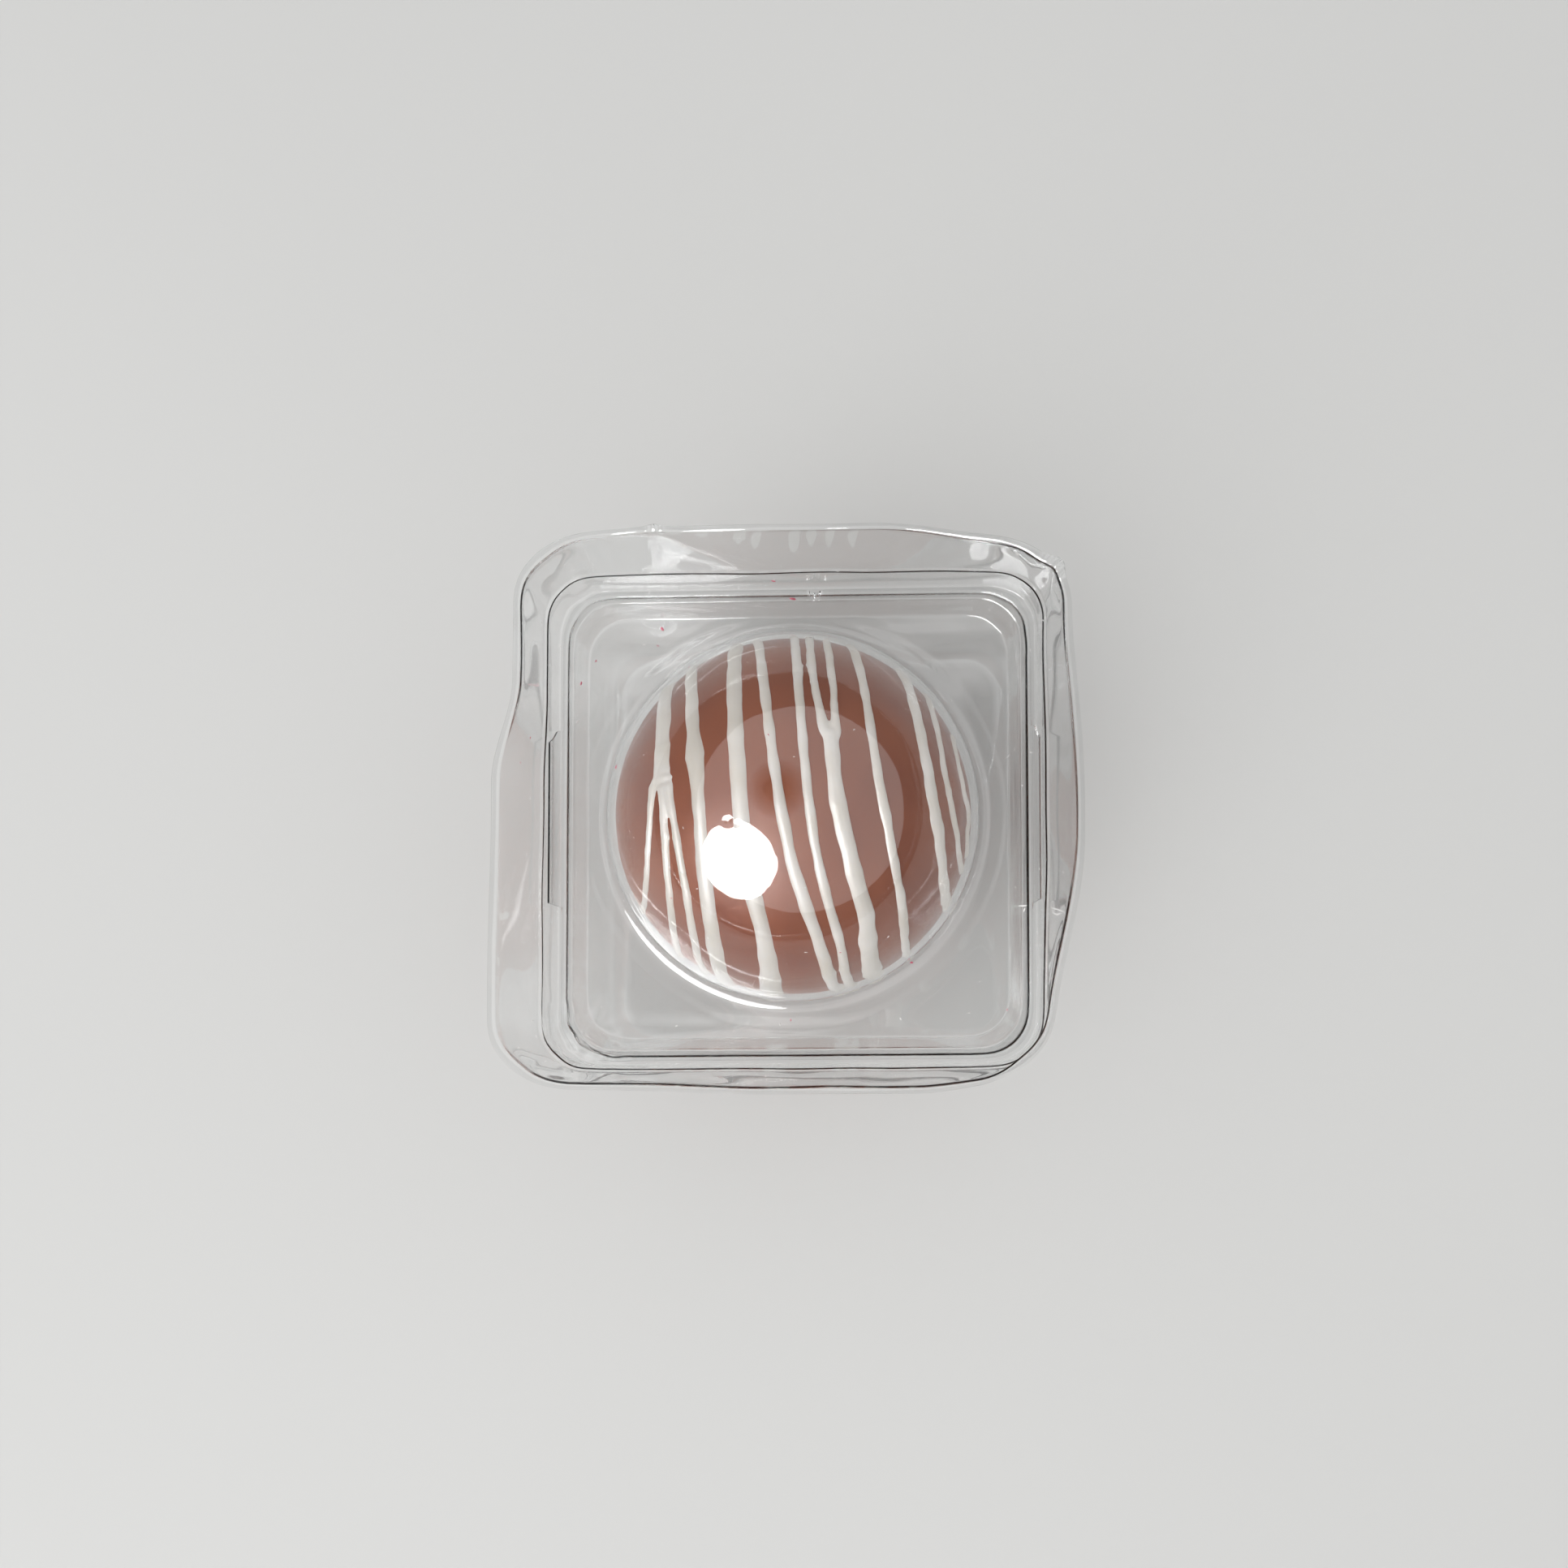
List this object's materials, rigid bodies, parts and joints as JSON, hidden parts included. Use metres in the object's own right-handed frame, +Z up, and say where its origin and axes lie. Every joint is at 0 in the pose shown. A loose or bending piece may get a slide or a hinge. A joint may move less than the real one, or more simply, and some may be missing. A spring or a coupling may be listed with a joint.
{
  "type": "drizzled chocolate ball in a clear pack",
  "caption": "Milk chocolate ball with thin white drizzle lines, held in a clear square formed tray by a clear lid with a round dome.",
  "frame": {"origin": "middle of the bounding box at its lowest height, on the underside of the tray's floor", "axes": "+Z up through the dome, +Y along the drizzle towards the back of the pack, +X to the right when seen from the front"},
  "size_m": [0.0808, 0.0778, 0.0516],
  "materials": {
    "milk_chocolate": "satin milk chocolate",
    "white_chocolate": "satin white chocolate drizzle",
    "clear_tray": "clear formed plastic film, lightly scuffed",
    "clear_lid": "clear formed plastic film, glossy"
  },
  "bodies": {
    "root": {"chocolate_sphere": "milk_chocolate", "tray": "clear_tray", "lid": "clear_lid"}
  },
  "joints": []
}
